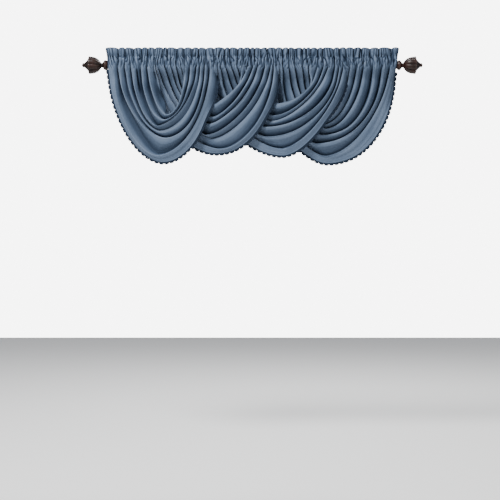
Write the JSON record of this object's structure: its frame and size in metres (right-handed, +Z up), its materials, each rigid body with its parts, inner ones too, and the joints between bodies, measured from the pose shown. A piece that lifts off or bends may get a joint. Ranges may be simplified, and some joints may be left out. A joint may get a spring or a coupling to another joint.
{
  "type": "waterfall swag valance set on curtain rod",
  "caption": "Overlapping waterfall swag valances with ruffled rod-pocket headings and scalloped trim, gathered on a curtain rod with fluted finials.",
  "frame": {"origin": "on the rod's axis, midway between the tips of the finials", "axes": "+X along the rod, to the right as seen from the room; +Y away from the viewer, towards the wall; +Z up"},
  "size_m": [1.842, 0.1196, 0.6452],
  "materials": {
    "cloth": "matt woven polyester with a faint sheen, dusty steel blue",
    "trim": "dull corded braid, dark navy",
    "bronze": "oil-rubbed bronze, satin, with lighter worn edges"
  },
  "bodies": {
    "root": {"rod": "bronze", "finial_left": "bronze", "finial_right": "bronze", "swag_1": "cloth", "swag_2": "cloth", "swag_3": "cloth", "swag_4": "cloth", "heading_1_left": "cloth", "heading_1_right": "cloth", "heading_2_left": "cloth", "heading_2_right": "cloth", "heading_3_left": "cloth", "heading_3_right": "cloth", "heading_4_left": "cloth", "heading_4_right": "cloth", "trim_1": "trim", "trim_2": "trim", "trim_3": "trim", "trim_4": "trim"}
  },
  "joints": []
}
